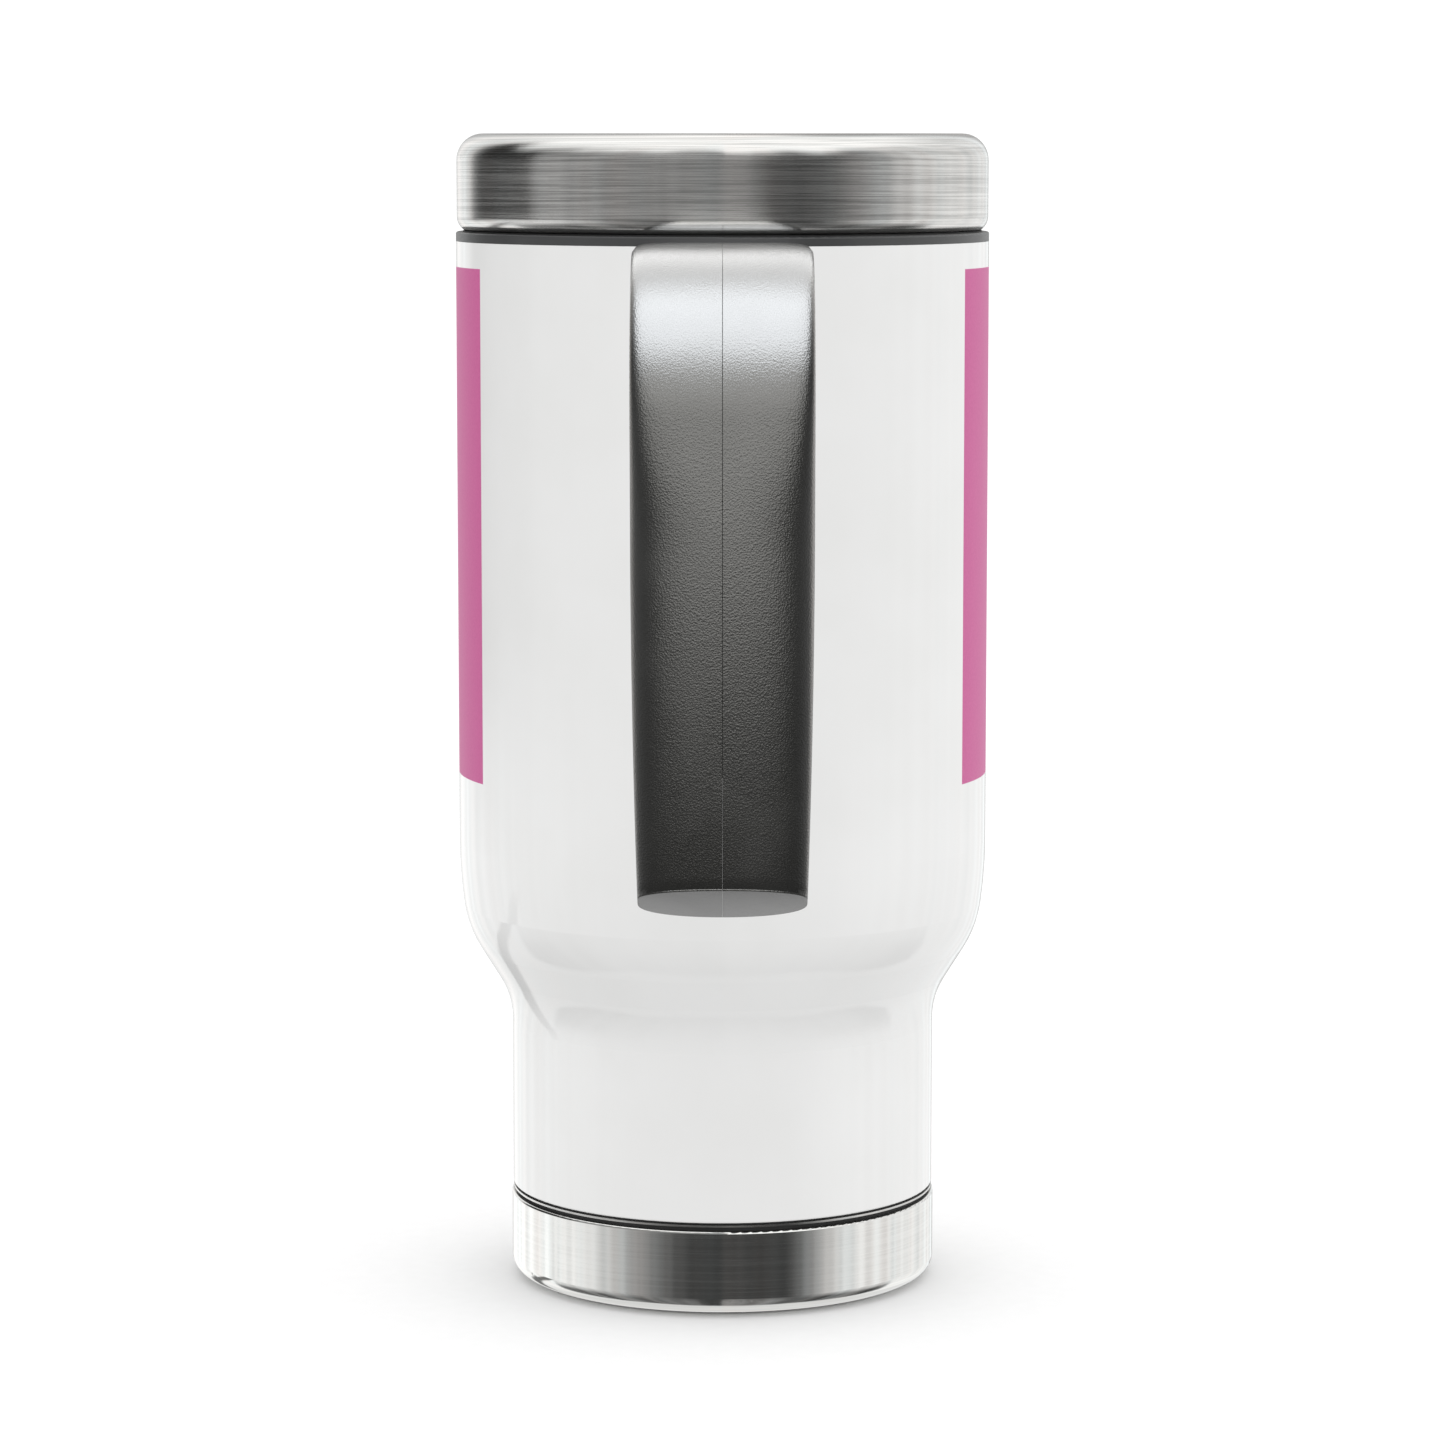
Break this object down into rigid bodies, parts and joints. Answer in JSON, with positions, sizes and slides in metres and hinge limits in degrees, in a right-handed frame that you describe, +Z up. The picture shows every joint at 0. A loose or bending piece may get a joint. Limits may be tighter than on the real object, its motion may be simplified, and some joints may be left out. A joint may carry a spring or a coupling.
{
  "type": "travel mug",
  "caption": "Insulated steel travel mug with an open-ended handle, a narrow foot for cup holders, and a press-in lid whose thumb slider opens a drinking hole.",
  "frame": {"origin": "centre of the foot pad's underside, on the mug's axis", "axes": "+Z up along the mug's axis, -Y towards the handle, -X towards the drinking hole"},
  "size_m": [0.0806, 0.1193, 0.175],
  "materials": {
    "white_coat": "gloss white powder coat with a pink printed panel on the side away from the handle",
    "brushed_steel": "stainless steel brushed round its axis",
    "polished_steel": "bright stainless steel, faintly brushed round its axis",
    "plain_steel": "plain satin stainless steel",
    "handle_plastic": "satin black with a fine leather grain",
    "black_plastic": "satin black moulded plastic",
    "slider_plastic": "satin dark grey moulded plastic",
    "black_rubber": "matte black rubber",
    "clear_silicone": "milky translucent silicone"
  },
  "bodies": {
    "mug": {"outer_shell": "white_coat", "inner_liner": "plain_steel", "outer_bottom": "plain_steel", "vacuum_seal": "plain_steel", "getter": "plain_steel", "base_cup": "polished_steel", "foot_pad": "black_rubber", "base_seal_ring": "black_rubber", "base_trim_ring": "brushed_steel", "collar": "black_plastic", "collar_seal": "black_rubber", "handle_right": "handle_plastic", "handle_left": "handle_plastic", "handle_core": "plain_steel", "handle_saddle": "plain_steel", "handle_rivets": "plain_steel"},
    "lid": {"lid_cover": "brushed_steel", "lid_body": "black_plastic", "lid_gasket": "clear_silicone"},
    "slider": {"slider": "slider_plastic", "slider_seal": "clear_silicone", "slider_retainer": "black_plastic"}
  },
  "joints": [
    {"name": "lid_lift", "type": "slide", "parent": "mug", "child": "lid", "axis": [0, 0, 1], "range_m": [0, 0.05]},
    {"name": "slider_open", "type": "slide", "parent": "lid", "child": "slider", "axis": [1, 0, 0], "range_m": [0, 0.014]}
  ]
}
